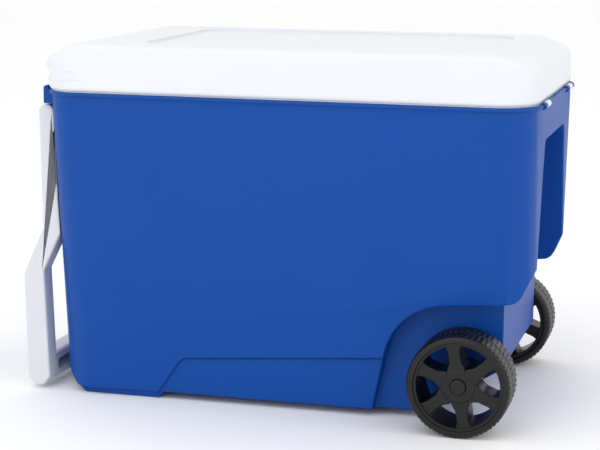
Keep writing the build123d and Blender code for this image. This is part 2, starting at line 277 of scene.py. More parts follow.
@dataclass(frozen=True)
class PlatedSteel:
    """Cold-drawn steel with bright zinc plate: fine lines round the rod and a slight bluish bloom."""

    name: str
    colour: str
    bloom_colour: str
    roughness: float
    line_mm: float  # spacing of the drawing lines

    def material(self) -> bpy.types.Material:
        """Build the material."""
        made = bpy.data.materials.new(self.name)
        made.use_nodes = True
        tree = made.node_tree
        shader = tree.nodes["Principled BSDF"]
        shader.inputs["Metallic"].default_value = 1.0
        place = add_node(tree, "ShaderNodeTexCoord").outputs["Object"]
        stretched = add_node(tree, "ShaderNodeMapping", {"Scale": (1.0, 0.05, 1.0)}, {"Vector": place})
        lines = add_node(
            tree, "ShaderNodeTexNoise", {"Scale": 1 / (self.line_mm * MM)},
            {"Vector": stretched.outputs["Vector"]},
        )
        bloom = add_node(tree, "ShaderNodeMix", {"data_type": "RGBA"}, {0: lines.outputs["Fac"]})
        bloom.inputs[6].default_value = linear(self.colour)
        bloom.inputs[7].default_value = linear(self.bloom_colour)
        tree.links.new(bloom.outputs[2], shader.inputs["Base Color"])
        polish = add_node(
            tree, "ShaderNodeMapRange",
            {"To Min": self.roughness - 0.08, "To Max": self.roughness + 0.08},
            {"Value": lines.outputs["Fac"]},
        )
        tree.links.new(polish.outputs["Result"], shader.inputs["Roughness"])
        return made


@dataclass(frozen=True)
class RigidFoam:
    """Rigid polyurethane foam, poured: straw-coloured, dull, with open cells where it is cut."""

    name: str
    colour: str
    # colour at the bottom of each cell's pit: painted shade, the same foam drawn darker where the bump sinks
    cell_colour: str
    cell_mm: float
    cell_depth_mm: float

    def material(self) -> bpy.types.Material:
        """Build the material."""
        made = bpy.data.materials.new(self.name)
        made.use_nodes = True
        tree = made.node_tree
        shader = tree.nodes["Principled BSDF"]
        shader.inputs["Roughness"].default_value = 0.9
        shader.inputs["Specular IOR Level"].default_value = 0.2
        place = add_node(tree, "ShaderNodeTexCoord").outputs["Object"]
        cells = add_node(
            tree, "ShaderNodeTexVoronoi", {"Scale": 1 / (self.cell_mm * MM)}, {"Vector": place}
        )
        # each cell is painted darker towards its middle, where the bump is lowest: painted shade in the pits
        tint = add_node(tree, "ShaderNodeMix", {"data_type": "RGBA"}, {0: cells.outputs["Distance"]})
        tint.inputs[6].default_value = linear(self.cell_colour)
        tint.inputs[7].default_value = linear(self.colour)
        tree.links.new(tint.outputs[2], shader.inputs["Base Color"])
        bump = add_node(
            tree, "ShaderNodeBump", {"Strength": 0.8, "Distance": self.cell_depth_mm * MM},
            {"Height": cells.outputs["Distance"]},
        )
        tree.links.new(bump.outputs["Normal"], shader.inputs["Normal"])
        return made


# The body: polypropylene moulded against a fine matt grain, so the blue stays deep with no hard glare.
BODY_BLUE = MouldedPlastic("moulded_polypropylene_blue", "02479a", "024396", 0.44, 0.2, 1.1, 0.05)
# The lid: the same plastic in white on a smoother mould; light soaks in a little and softens its edges.
LID_WHITE = MouldedPlastic(
    "moulded_polypropylene_white", "dddfe3", "d9dce1", 0.42, 0.3, 1.3, 0.03, edge_mm=1.6, glow_through=0.1
)
# The liner: plain polished mould, a clean white with a soft shine.
LINER_WHITE = MouldedPlastic(
    "polished_polypropylene_white", "edeff2", "e8ebef", 0.3, 0.4, 2.0, 0.02, glow_through=0.1
)
# The tow handle: white polypropylene a shade greyer than the lid, with the same satin.
HANDLE_WHITE = MouldedPlastic(
    "satin_polypropylene_off_white", "d4d6db", "d0d3d9", 0.4, 0.32, 1.2, 0.04, edge_mm=1.4, glow_through=0.05
)
# The wheels: black polyethylene, blow-moulded, slightly waxy, so edges catch a soft grey light.
WHEEL_BLACK = MouldedPlastic(
    "moulded_polyethylene_black", "060608", "0a0a0c", 0.4, 0.4, 1.4, 0.08, cloud_mm=40.0
)
# The bushes: natural nylon, milky and smooth.
BUSH_NYLON = MouldedPlastic(
    "natural_nylon", "d9d6cb", "d2cfc4", 0.35, 0.45, 1.0, 0.01, cloud_mm=12.0, edge_mm=0.3, ior=1.53,
    glow_through=0.2,
)
ZINC_STEEL = PlatedSteel("bright_zinc_plated_steel", "b9bcc2", "a3a9b8", 0.32, 0.4)
# Foam: straw-coloured, with painted shade (b39a5c) in the bottom of each cell.
PU_FOAM = RigidFoam("poured_polyurethane_foam", "d9c48a", "b39a5c", 2.0, 0.5)


class Slot(Enum):
    """The record's material slots, each with the finish it is dressed in."""

    blue_shell = BODY_BLUE
    white_lid = LID_WHITE
    white_liner = LINER_WHITE
    foam = PU_FOAM
    handle_white = HANDLE_WHITE
    wheel_black = WHEEL_BLACK
    bush_nylon = BUSH_NYLON
    zinc_steel = ZINC_STEEL


class PaintShop:
    """Makes each finish once and puts it on pieces."""

    def __init__(self) -> None:
        """Mix every finish."""
        self.mixed = {slot: slot.value.material() for slot in Slot}

    def dress(self, obj: bpy.types.Object, slot: Slot) -> None:
        """Give an object a slot's finish."""
        obj.data.materials.clear()
        obj.data.materials.append(self.mixed[slot])


# ---- the bench ----------------------------------------------------------------------------------
class Piece:
    """A mesh on the bench, with the hand operations that shape it."""

    def __init__(self, name: str, section: list[Vector]) -> None:
        """Lay a flat plate whose rim runs through the section's points."""
        bpy.ops.object.select_all(action="DESELECT")
        bpy.ops.mesh.primitive_circle_add(vertices=len(section), radius=MM, fill_type="NGON")
        self.obj = bpy.context.object
        self.obj.name = name
        self.obj.data.name = name
        for vertex, point in zip(self.obj.data.vertices, section):
            vertex.co = point
        self.section = section

    @classmethod
    def stack(cls, name: str, sections: list[list[Vector]]) -> "Piece":
        """A closed piece drawn through sections with the same number of points.

        Args:
            name: the piece's name.
            sections: the sections in order, each a list of points.

        Returns:
            The piece.
        """
        piece = cls(name, sections[0])
        for section in sections[1:]:
            piece.extrude_onto(section)
        piece.face_outwards()
        return piece

    @classmethod
    def prism(cls, name: str, outline: Outline, facing: Facing, start: float, end: float) -> "Piece":
        """A straight block with a flat outline, between two distances along its facing."""
        points = outline.points()
        return cls.stack(name, [[facing.place(u, v, depth) for u, v in points] for depth in (start, end)])

    @contextmanager
    def editing(self, edges: bool = False) -> Iterator[None]:
        """Hold the piece alone in edit mode, picking faces and points or only edges."""
        bpy.ops.object.select_all(action="DESELECT")
        self.obj.select_set(True)
        bpy.context.view_layer.objects.active = self.obj
        bpy.context.tool_settings.mesh_select_mode = (not edges, edges, False)
        bpy.ops.object.mode_set(mode="EDIT")
        yield
        bpy.ops.object.mode_set(mode="OBJECT")

    def extrude_onto(self, section: list[Vector]) -> None:
        """Extrude the plate last drawn and set its rim on a new section."""
        with self.editing():
            bpy.ops.mesh.extrude_region_move(TRANSFORM_OT_translate={"value": (0, 0, 0)})
        raised = [vertex for vertex in self.obj.data.vertices if vertex.select]
        old = self.section
        places = [
            min(range(len(old)), key=lambda i: (vertex.co - old[i]).length_squared) for vertex in raised
        ]
        for vertex, place in zip(raised, places):
            vertex.co = section[place]
        self.section = section

    def face_outwards(self) -> None:
        """Turn every face of a closed single-walled piece outwards."""
        with self.editing():
            bpy.ops.mesh.select_all(action="SELECT")
            bpy.ops.mesh.normals_make_consistent(inside=False)

    def apply(self, modifier: bpy.types.Modifier) -> None:
        """Apply one modifier."""
        bpy.ops.object.select_all(action="DESELECT")
        self.obj.select_set(True)
        bpy.context.view_layer.objects.active = self.obj
        bpy.ops.object.modifier_apply(modifier=modifier.name)

    def work(self, tool: "Piece", joint: Joint = Joint.CUT_AWAY) -> "Piece":
        """Cut this piece with another, or grow the other on it; the other is used up."""
        modifier = self.obj.modifiers.new("joint", "BOOLEAN")
        modifier.operation = joint.value
        modifier.solver = "EXACT"
        modifier.object = tool.obj
        self.apply(modifier)
        bpy.data.objects.remove(tool.obj)
        return self

    def slice_off(self, place: Vector, normal: Vector, close: bool = True) -> "Piece":
        """Saw off all that lies beyond a plane, on its normal's side.

        Args:
            place: a place on the plane.
            normal: points to the side that is sawn off.
            close: whether the cut is closed with a face.

        Returns:
            The piece itself.
        """
        with self.editing():
            bpy.ops.mesh.select_all(action="SELECT")
            bpy.ops.mesh.bisect(plane_co=place, plane_no=normal, use_fill=close, clear_outer=True)
        if close:
            self.face_outwards()
        return self

    def doubled_across(self) -> "Piece":
        """Complete one half, open at the centre plane, with its mirror image."""
        other = self.obj.modifiers.new("other_half", "MIRROR")
        other.use_axis = (False, True, False)
        other.merge_threshold = 0.02 * MM
        self.apply(other)
        self.face_outwards()
        return self

    def weld(self, distance_mm: float = 0.02) -> "Piece":
        """Merge points that lie closer than a distance."""
        with self.editing():
            bpy.ops.mesh.select_all(action="SELECT")
            bpy.ops.mesh.remove_doubles(threshold=distance_mm * MM)
        return self

    def clear_flats(self) -> "Piece":
        """Take out the short leftover edges that lie within a flat face or a straight edge."""
        with self.editing():
            bpy.ops.mesh.select_all(action="SELECT")
            bpy.ops.mesh.dissolve_limited(angle_limit=radians(0.6))
        return self.weld(0.4)

    def soften(
        self,
        width: float,
        segments: int = 3,
        sharper_than: float = 28.0,
        where: Callable[[Vector], bool] | None = None,
    ) -> "Piece":
        """Round the sharp edges over.

        Args:
            width: how far back from the edge the rounding starts.
            segments: faces across the rounding.
            sharper_than: only edges that turn more than this many degrees.
            where: a test that an edge's middle passes, in millimetres from the datum.

        Returns:
            The piece itself.
        """
        with self.editing(edges=True):
            bpy.ops.mesh.select_all(action="DESELECT")
            bpy.ops.mesh.edges_select_sharp(sharpness=radians(sharper_than))
        if where:
            points = self.obj.data.vertices
            for edge in self.obj.data.edges:
                middle = (points[edge.vertices[0]].co + points[edge.vertices[1]].co) / (2 * MM)
                middle.x -= DATUM
                edge.select = edge.select and where(middle)
        with self.editing(edges=True):
            bpy.ops.mesh.bevel(offset=width * MM, segments=segments, affect="EDGES", clamp_overlap=False)
        return self

    def copied(self, name: str) -> "Piece":
        """A second piece with its own mesh."""
        bpy.ops.object.select_all(action="DESELECT")
        self.obj.select_set(True)
        bpy.context.view_layer.objects.active = self.obj
        bpy.ops.object.duplicate(linked=False)
        twin = object.__new__(Piece)
        twin.obj = bpy.context.object
        twin.obj.name = name
        twin.obj.data.name = name
        twin.section = self.section
        return twin

    def mirrored_across(self, name: str) -> "Piece":
        """A twin on the other side of the centre plane."""
        twin = self.copied(name)
        with twin.editing():
            bpy.ops.mesh.select_all(action="SELECT")
            bpy.ops.transform.mirror(
                constraint_axis=(False, True, False), orient_type="GLOBAL", center_override=(0, 0, 0)
            )
            bpy.ops.mesh.flip_normals()
        return twin

    def hand_over(self, body: str, nodes: tuple[str, ...], slot: Slot, shop: PaintShop) -> None:
        """Shade, dress and seat the finished piece.

        Args:
            body: the CAD body that it moves with.
            nodes: the CAD nodes that it stands for.
            slot: its material slot.
            shop: the paint shop.
        """
        bpy.ops.object.select_all(action="DESELECT")
        self.obj.select_set(True)
        bpy.context.view_layer.objects.active = self.obj
        bpy.ops.object.shade_smooth_by_angle(angle=radians(35))
        flats = self.obj.modifiers.new("flats", "WEIGHTED_NORMAL")
        flats.keep_sharp = True
        self.apply(flats)
        shop.dress(self.obj, slot)
        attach(self.obj, body)
        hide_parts(*nodes)
        log.info("%s: %d faces", self.obj.name, len(self.obj.data.polygons))


def rod(name: str, x: float, z: float, radius: float, ends: tuple[float, float], points: int = 48) -> Piece:
    """A round bar across the cooler, about a place seen from the side."""
    return Piece.prism(name, Outline.disc(x, z, radius, points), Facing.ACROSS, *ends)


# ---- tub ----------------------------------------------------------------------------------------
@dataclass
class Tub:
    """The blue shell, the foam behind it and the white liner."""

    wall_mid: float = -2.5
    top_half: tuple[float, float] = (293.7, 181.5)
    foot_half: tuple[float, float] = (291.2, 141.0)
    top_corner: float = 48.0
    foot_corner: float = 44.0
    rim_half: tuple[float, float] = (296.2, 184.0)
    bead: float = 4.0
    wall: float = 3.0
    liner_wall: float = 2.5
    edge: float = 2.2  # rounding of the shell's outer edges

    foot_half_y: float = 134.0
    base_z: float = 8.7
    foot_end: float = -150.0  # the recess beside the foot runs into the base here
    joggle: float = 0.3  # by so much it stays below the base
    tongue_x: float = 254.5
    tongue_half_y: float = 124.0
    underside: Outline = Outline(
        (
            (-340, 71, 0), (-263, 0, 4), (-166, 0, 3), (-160, 8.7, 3), (164, 8.7, 12), (254.5, 67, 5),
            (254.5, 149.5, 0), (274, 151, 16), (290.5, 188, 14), (340, 296, 0), (340, -60, 0), (-340, -60, 0),
        )
    )
    arch: Outline = Outline(((96, -20, 0), (131.5, 138.7, 80), (360, 157.8, 0), (360, -20, 0)))
    pocket: Outline = Outline(((-85, 331, 10), (85, 331, 10), (124, 140, 0), (-124, 140, 0)))

    belt_low: tuple[tuple[float, float], ...] = ((-240, 106.0), (300, 153.5))
    belt_high: tuple[tuple[float, float], ...] = ((-240, 118.5), (300, 181.0))
    belt_half_y: tuple[float, float] = (153.0, 157.5)
    belt_start: float = -200.0
    belt_fade: float = 4.0
    belt_depth: float = 2.8
    belt_turn: float = 0.25
    belt_rise: float = 5.0  # about how far the belt's steep face rises for each millimetre inwards
    panel: Outline = Outline(((15, -20, 0), (67, 55, 16), (350, 77, 0), (350, -20, 0)))
    panel_depth: float = 2.5

    hood: Outline = Outline(
        (
            (-285, 359, 0), (-307.5, 359, 1.5), (-307.5, 381, 4),
            (-301, 381, 1.2), (-301, 376, 0), (-285, 376, 0),
        )
    )
    hood_half_y: float = 144.0
    lug: tuple[float, float] = (90.0, 110.0)
    lug_r: float = 11.0
    pivot_r: float = 4.0
    axle_r: float = 5.05
    axle_tube_r: float = 9.0

    hinge_y: float = 100.0
    hinge_r: float = 3.8
    hinge_pin_r: float = 1.8
    lid_knuckle: float = 26.0
    body_knuckle: float = 14.0
    knuckle_gap: float = 0.5

    liner_well: tuple[tuple[float, ...], ...] = ((48, -80, 162, 110, 26), (182, -82, 166, 118, 30))
    liner_top: tuple[tuple[float, ...], ...] = ((172, -10, 240, 128, 32), (377, -11, 247, 150, 36))
    mouth_edge: float = 1.8  # radius of the liner's upper inner edge
    mouth_start: float = 0.3  # by so much the cutter starts inside the cavity

    @property
    def slope(self) -> float:
        """How far a long wall leans out for each millimetre of height."""
        return (self.top_half[1] - self.foot_half[1]) / RIM_Z

    def plan(self, z: float, inset: float) -> list[Vector]:
        """The four walls' outline at a height, drawn in by a wall thickness."""
        t = z / RIM_Z
        half_x, half_y, corner = (
            low + t * (high - low)
            for low, high in zip((*self.foot_half, self.foot_corner), (*self.top_half, self.top_corner))
        )
        shape = Outline.block((self.wall_mid - half_x, -half_y), (self.wall_mid + half_x, half_y), corner)
        return [Facing.UP.place(u, v, z) for u, v in shape.grown(-inset).points()]

    def walls(self, inset: float, top: float) -> Piece:
        """The tapered block inside the four walls, up to a height."""
        return Piece.stack("walls", [self.plan(0.0, inset), self.plan(top, inset)])

    def belt_cut(self, side: int, inset: float) -> Piece:
        """What the belt takes off one long wall, down to a wall thickness inside it.

        Args:
            side: -1 for the front wall, 1 for the back one.
            inset: the wall thickness, or 0 for the outer face.

        Returns:
            The cutter.
        """
        sections = []
        for half_y in (110.0, 170.0):
            t = (half_y - self.belt_half_y[0]) / (self.belt_half_y[1] - self.belt_half_y[0])
            (x0, z0), (x1, z1) = (
                (a[0], a[1] + t * (b[1] - a[1])) for a, b in zip(self.belt_low, self.belt_high)
            )
            shape = Outline(((x0, -FAR, 0), (x0, z0, 0), (x1, z1, 0), (x1, -FAR, 0)))
            shape = shape.grown(self.belt_rise * inset)
            sections.append([Facing.ACROSS.place(u, v, side * half_y) for u, v in shape.points()])
        cutter = Piece.stack("belt", sections)
        for start, depth, turn in (
            (self.belt_low[0][0], 0.0, self.belt_fade),
            (self.belt_start, self.belt_depth, self.belt_turn),
        ):
            place, _, _, out = self.wall_plane(side, start, depth + inset, turn)
            cutter.slice_off(place, -out)
        return cutter

    def wall_plane(self, side: int, start: float, depth: float, turn: float) -> tuple[Vector, ...]:
        """Plane along a sloping long wall.

        Args:
            side: -1 for the front wall, 1 for the back one.
            start: where along X the plane lies at its depth.
            depth: how far in from the wall.
            turn: how many degrees it turns in towards the wheels.

        Returns:
            A place on it, its directions along and up, and its outward normal.
        """
        along = Vector((cos(radians(turn)), -side * sin(radians(turn)), 0))
        up = Vector((0, side * self.slope, 1)).normalized()
        out = along.cross(up) * -side
        return spot(start, side * (self.foot_half[1] - depth), 0), along, up, out.normalized()

    def panel_cut(self, side: int, inset: float) -> Piece:
        """The shallow panel low on one long wall."""
        place, along, up, out = self.wall_plane(
            side, self.belt_start, self.belt_depth + self.panel_depth + inset, self.belt_turn
        )
        floor = [place + (along * u + up * v) * MM for u, v in self.panel.grown(inset).points()]
        return Piece.stack("panel", [floor, [point + out * 0.1 for point in floor]])

    def form(self, inset: float, top: float) -> Piece:
        """The tub's form without its bead, or the same form drawn in by a wall thickness.

        Args:
            inset: the wall thickness, or 0 for the outer form.
            top: height at which the form ends.

        Returns:
            The form, with sharp outer edges.
        """
        form = self.walls(inset, top)
        form.work(Piece.prism("underside", self.underside.grown(inset), Facing.ACROSS, -FAR, FAR))
        block = 100.0
        for side in (-1, 1):
            beside = side * (self.foot_half_y - inset)
            edges = sorted((beside, beside + side * block))
            shape = Outline.block((edges[0], -block), (edges[1], self.base_z + inset - self.joggle))
            form.work(Piece.prism("beside_foot", shape, Facing.ALONG, -FAR, self.foot_end))
            near = side * (self.tongue_half_y - inset)
            form.work(Piece.prism("arch", self.arch.grown(inset), Facing.ACROSS, near, side * FAR))
        form.work(Piece.prism("pocket", self.pocket.grown(inset), Facing.ALONG, self.tongue_x - inset, FAR))
        for side in (-1, 1):
            form.work(self.belt_cut(side, inset))
            form.work(self.panel_cut(side, inset))
        return form.clear_flats()

    def knuckle(self, side: int, radius: float, half_length: float, end: int = 0) -> Piece:
        """A bar on the hinges' axis, about the middle of one hinge or of its outer knuckle at an end."""
        middle = side * self.hinge_y + end * (self.lid_knuckle / 2 + self.knuckle_gap + self.body_knuckle / 2)
        return rod("knuckle", HINGE_X, HINGE_Z, radius, (middle - half_length, middle + half_length), 24)

    def has_sharp_mould_edge(self, place: Vector) -> bool:
        """True below the rim, away from the wheel end's lower edge, which its outline already rounds."""
        return place.z < RIM_Z - 10 and not (place.x > self.tongue_x - 4 and 138 < place.z < 194)

    def build_shell(self, shop: PaintShop) -> None:
        """Model the blue shell."""
        shell = self.form(0.0, RIM_Z - 1.0)
        shell.slice_off(Vector((0, 0, 0)), Vector((0, 1, 0)), close=False)
        shell.soften(self.edge, where=self.has_sharp_mould_edge).doubled_across()
        half_x, half_y = self.rim_half
        corner = self.top_corner + self.rim_half[1] - self.top_half[1]
        rim = Outline.block((self.wall_mid - half_x, -half_y), (self.wall_mid + half_x, half_y), corner)
        bead = Piece.prism("bead", rim, Facing.UP, RIM_Z - self.bead, RIM_Z).soften(0.9, 2)
        shell.work(bead, Joint.GROW_ON)
        hood = Piece.prism("hood", self.hood, Facing.ACROSS, -self.hood_half_y, self.hood_half_y)
        hood.soften(1.5, 3, where=lambda place: abs(place.y) > self.hood_half_y - 1)
        shell.work(hood, Joint.GROW_ON)
        for side in (-1, 1):
            ends = (side * self.lug[0], side * self.lug[1])
            nose, root, r = PIVOT_X - self.lug_r, PIVOT_X + 2 * self.lug_r, self.lug_r
            lug = Outline(
                (
                    (nose, PIVOT_Z - r, r - 0.1), (root, PIVOT_Z - r, 0), (root, PIVOT_Z + r, 0),
                    (nose, PIVOT_Z + r, r - 0.1),
                )
            )
            shell.work(Piece.prism("lug", lug, Facing.ACROSS, *ends), Joint.GROW_ON)
            half_length = self.lid_knuckle / 2 + self.knuckle_gap
            shell.work(self.knuckle(side, self.hinge_r + self.knuckle_gap, half_length))
            for end in (-1, 1):
                shell.work(self.knuckle(side, self.hinge_r, self.body_knuckle / 2, end), Joint.GROW_ON)
        shell.work(self.form(self.wall, RIM_Z + 5))
        reach = self.tongue_half_y - 1
        shell.work(rod("axle_tube", AXLE_X, AXLE_Z, self.axle_tube_r, (-reach, reach)), Joint.GROW_ON)
        reach = self.tongue_half_y + 1
        shell.work(rod("axle_hole", AXLE_X, AXLE_Z, self.axle_r, (-reach, reach)))
        reach = self.lug[1] + 1
        shell.work(rod("pivot_hole", PIVOT_X, PIVOT_Z, self.pivot_r, (-reach, reach)))
        shell.obj.name = shell.obj.data.name = "blue_shell"
        shell.hand_over("tub", ("tub_shell",), Slot.blue_shell, shop)

    def liner_form(self, inset: float, top: float) -> Piece:
        """The liner's outer form, or its cavity: a deep well and a raised floor over the wheels."""
        halves = []
        for levels in (self.liner_well, self.liner_top):
            sections = []
            for z, x, half_x, half_y, corner in levels:
                height = z + inset if z == levels[0][0] else z
                shape = Outline.block((x - half_x, -half_y), (x + half_x, half_y), corner).grown(-inset)
                if z == RIM_Z:
                    height = top
                sections.append([Facing.UP.place(u, v, height) for u, v in shape.points()])
            halves.append(Piece.stack("liner", sections))
        return halves[0].work(halves[1], Joint.GROW_ON).weld()

    def mouth_cut(self) -> Piece:
        """The cutter that rounds the liner's upper inner edge."""
        z, x, half_x, half_y, corner = self.liner_top[-1]
        edge = Outline.block((x - half_x, -half_y), (x + half_x, half_y), corner).grown(-self.liner_wall)
        steps = 4
        sections = []
        for k in range(steps + 1):
            turn = radians(90 * k / steps)
            shape = edge.grown(self.mouth_edge * (1 - cos(turn)) - (0.0 if k else self.mouth_start))
            height = z - self.mouth_edge * (1 - sin(turn))
            sections.append([Facing.UP.place(u, v, height) for u, v in shape.points()])
        sections.append([point + Facing.UP.place(-DATUM, 0, 1) for point in sections[-1]])
        return Piece.stack("mouth", sections)

    def build_liner(self, shop: PaintShop) -> None:
        """Model the white liner, with its well, raised floor and flange."""
        liner = self.liner_form(0.0, RIM_Z - 0.5)
        liner.soften(8.0, 4, where=lambda place: place.z < 60)
        flange_low, flange_high = self.plan(RIM_Z - self.liner_wall, self.wall), self.plan(RIM_Z, self.wall)
        liner.work(Piece.stack("flange", [flange_low, flange_high]), Joint.GROW_ON)
        cavity = self.liner_form(self.liner_wall, RIM_Z + 5)
        liner.work(cavity.soften(6.0, 4, where=lambda place: place.z < 60))
        liner.work(self.mouth_cut())
        liner.obj.name = liner.obj.data.name = "white_liner"
        liner.hand_over("tub", ("tub_liner",), Slot.white_liner, shop)

    def build_foam(self, shop: PaintShop) -> None:
        """Model the foam that fills the space between the shell and the liner."""
        foam = self.form(self.wall, RIM_Z - self.liner_wall)
        foam.work(self.liner_form(0.0, RIM_Z + 5))
        foam.work(rod("axle_tube", AXLE_X, AXLE_Z, self.axle_tube_r, (-FAR, FAR)))
        foam.obj.name = foam.obj.data.name = "wall_foam"
        foam.hand_over("tub", ("tub_foam",), Slot.foam, shop)


# ---- lid ----------------------------------------------------------------------------------------
@dataclass
class Lid:
    """The hinged lid: a white cover with a sunken panel and a finger groove, and its liner."""

    corner: float = 48.0
    wall: float = 3.0
    liner_wall: float = 2.5
    levels: tuple[tuple[float, float, float], ...] = ((-298, 291, 183.5), (-306, 289.5, 177.5))
    handle_bevel: tuple[tuple[float, float], ...] = ((-257, 433.5), (-330, 401))
    wheel_bevel: tuple[tuple[float, float], ...] = ((246, 433.5), (330, 408.3))
    recess: Outline = Outline.block((-188, -136), (224, 136), 36)
    recess_depth: float = 3.0
    groove_z: tuple[float, float] = (391.0, 402.0)
    groove_end: float = -205.0
    groove_core: tuple[tuple[float, float], ...] = ((-200, 186), (-289, 176), (-289, -176), (-200, -186))
    plug: Outline = Outline.block((-252, -143), (230, 143), 32)
    plug_depth: float = 10.0

    def form(self, inset: float) -> Piece:
        """The lid's outer form, or the same form drawn in by a wall thickness."""
        sections = []
        for z, (low, high, half_y) in zip((LID_Z - (5 if inset else 0), LID_TOP_Z - inset), self.levels):
            shape = Outline.block((low, -half_y), (high, half_y), self.corner).grown(-inset)
            sections.append([Facing.UP.place(u, v, z) for u, v in shape.points()])
        form = Piece.stack("lid", sections)
        for (x0, z0), (x1, z1) in (self.handle_bevel, self.wheel_bevel):
            run, drop = x1 - x0, z1 - z0
            normal = Vector((-drop, 0, run)) if run > 0 else Vector((drop, 0, -run))
            normal.normalize()
            form.slice_off(spot(x0, 0, z0) - normal * inset * MM, normal)
        return form

    def groove_cut(self, inset: float) -> Piece:
        """The finger groove round the handle end, or the room it needs behind a wall thickness."""
        low, high = self.groove_z[0] - inset, self.groove_z[1] + inset
        around = Outline.block((-FAR, -FAR / 2), (self.groove_end + inset, FAR / 2))
        cutter = Piece.prism("groove", around, Facing.UP, low, high)
        core = Outline(
            tuple((x + inset, y - inset if y > 0 else y + inset, 0.0) for x, y in self.groove_core)
        )
        return cutter.work(Piece.prism("core", core, Facing.UP, low - 5, high + 5))

    def build_cover(self, tub: Tub, shop: PaintShop) -> None:
        """Model the cover, its hinge knuckles and its hollow."""
        cover = self.form(0.0)
        cover.soften(6.5, 5, where=lambda place: place.z > 398)
        cover.soften(0.8, 2, sharper_than=60.0, where=lambda place: place.z < 380)
        cover.work(self.groove_cut(0.0).soften(2.0, 3, where=lambda place: -210 < place.x))
        floor = LID_TOP_Z - self.recess_depth
        cover.work(Piece.prism("recess", self.recess, Facing.UP, floor, LID_TOP_Z + 20).soften(1.5, 3))
        for side in (-1, 1):
            for end in (-1, 1):
                room = tub.knuckle(
                    side, tub.hinge_r + tub.knuckle_gap, tub.body_knuckle / 2 + tub.knuckle_gap, end
                )
                cover.work(room)
            cover.work(tub.knuckle(side, tub.hinge_r, tub.lid_knuckle / 2), Joint.GROW_ON)
        hollow = self.form(self.wall)
        deep = self.recess.grown(self.wall)
        hollow.work(Piece.prism("recess", deep, Facing.UP, floor - self.wall, LID_TOP_Z + 20))
        hollow.work(self.groove_cut(self.wall))
        for side in (-1, 1):
            hollow.work(tub.knuckle(side, tub.hinge_r, tub.lid_knuckle / 2))
        cover.work(hollow)
        for side in (-1, 1):
            cover.work(tub.knuckle(side, tub.hinge_pin_r + 0.05, tub.lid_knuckle / 2 + 0.2))
        cover.obj.name = cover.obj.data.name = "white_cover"
        cover.hand_over("lid", ("lid_cover",), Slot.white_lid, shop)

    def build_liner(self, shop: PaintShop) -> None:
        """Model the lid's liner, whose plug stands down into the tub."""
        sections = []
        for z, (low, high, half_y) in ((LID_Z, self.levels[0]), (LID_Z + self.liner_wall, self.levels[0])):
            shape = Outline.block((low, -half_y), (high, half_y), self.corner).grown(-self.wall - 0.2)
            sections.append([Facing.UP.place(u, v, z) for u, v in shape.points()])
        liner = Piece.stack("plate", sections)
        bottom = LID_Z - self.plug_depth
        plug = Piece.prism("plug", self.plug, Facing.UP, bottom, LID_Z + 1)
        liner.work(plug.soften(3.0, 4, where=lambda place: place.z < bottom + 1), Joint.GROW_ON)
        inner = self.plug.grown(-self.liner_wall)
        liner.work(Piece.prism("pan", inner, Facing.UP, bottom + self.liner_wall, LID_Z + 20))
        liner.obj.name = liner.obj.data.name = "lid_plug"
        liner.hand_over("lid", ("lid_liner",), Slot.white_liner, shop)


# ---- tow handle ---------------------------------------------------------------------------------
@dataclass
class TowHandle:
    """The swing-up tow handle: two cranked arms and a grooved grip."""

    arm_in: float = 112.0
    arm_out: float = 138.0
    gap: float = 1.2
    pin_r: float = 4.05
    arm: Outline = Outline(
        (
            (-316.9, 357.4, 9.5), (-297.5, 357.4, 9.5), (-297.5, 346, 8), (-289, 330, 7),
            (-289, 203, 7), (-314.3, 151, 7), (-309.5, 16, 7), (-318, 5, 5),
            (-330, 5, 7), (-338, 14, 7), (-341.5, 145, 16), (-314.5, 205, 16),
        )
    )
    grip: Outline = Outline.block((-338, 8), (-311, 42), 5)
    slot_height: float = 14.0
    slot_end: float = 6.0
    edge: float = 2.6
    back_x: float = -299.5  # the arms' backs, close against the end wall, keep their edges

    def build(self, tub: Tub, shop: PaintShop) -> None:
        """Model the handle as one moulding."""
        handle = Piece.prism("grip", self.grip, Facing.ACROSS, -(self.arm_in + 8), self.arm_in + 8)
        middle = (self.grip.corners[0][1] + self.grip.corners[2][1]) / 2
        low, high = middle - self.slot_height / 2, middle + self.slot_height / 2
        slot = Outline.block((-325, low), (-290, high), 2.0)
        reach = self.arm_in - self.slot_end
        handle.work(Piece.prism("slot", slot, Facing.ACROSS, -reach, reach))
        arm = Piece.prism("arm", self.arm, Facing.ACROSS, self.arm_in, self.arm_out)
        arm.work(tub.walls(-self.gap, RIM_Z)).weld(0.05)
        arm.soften(self.edge, 4, where=lambda place: place.x < self.back_x)
        ends = (self.arm_in - 1, self.arm_out - self.slot_end)
        arm.work(rod("pin_hole", PIVOT_X, PIVOT_Z, self.pin_r, ends))
        handle.work(arm, Joint.GROW_ON)
        handle.slice_off(Vector((0, 0, 0)), Vector((0, -1, 0)), close=False).doubled_across()
        handle.obj.name = handle.obj.data.name = "tow_handle_moulding"
        handle.hand_over("handle", ("tow_handle",), Slot.handle_white, shop)


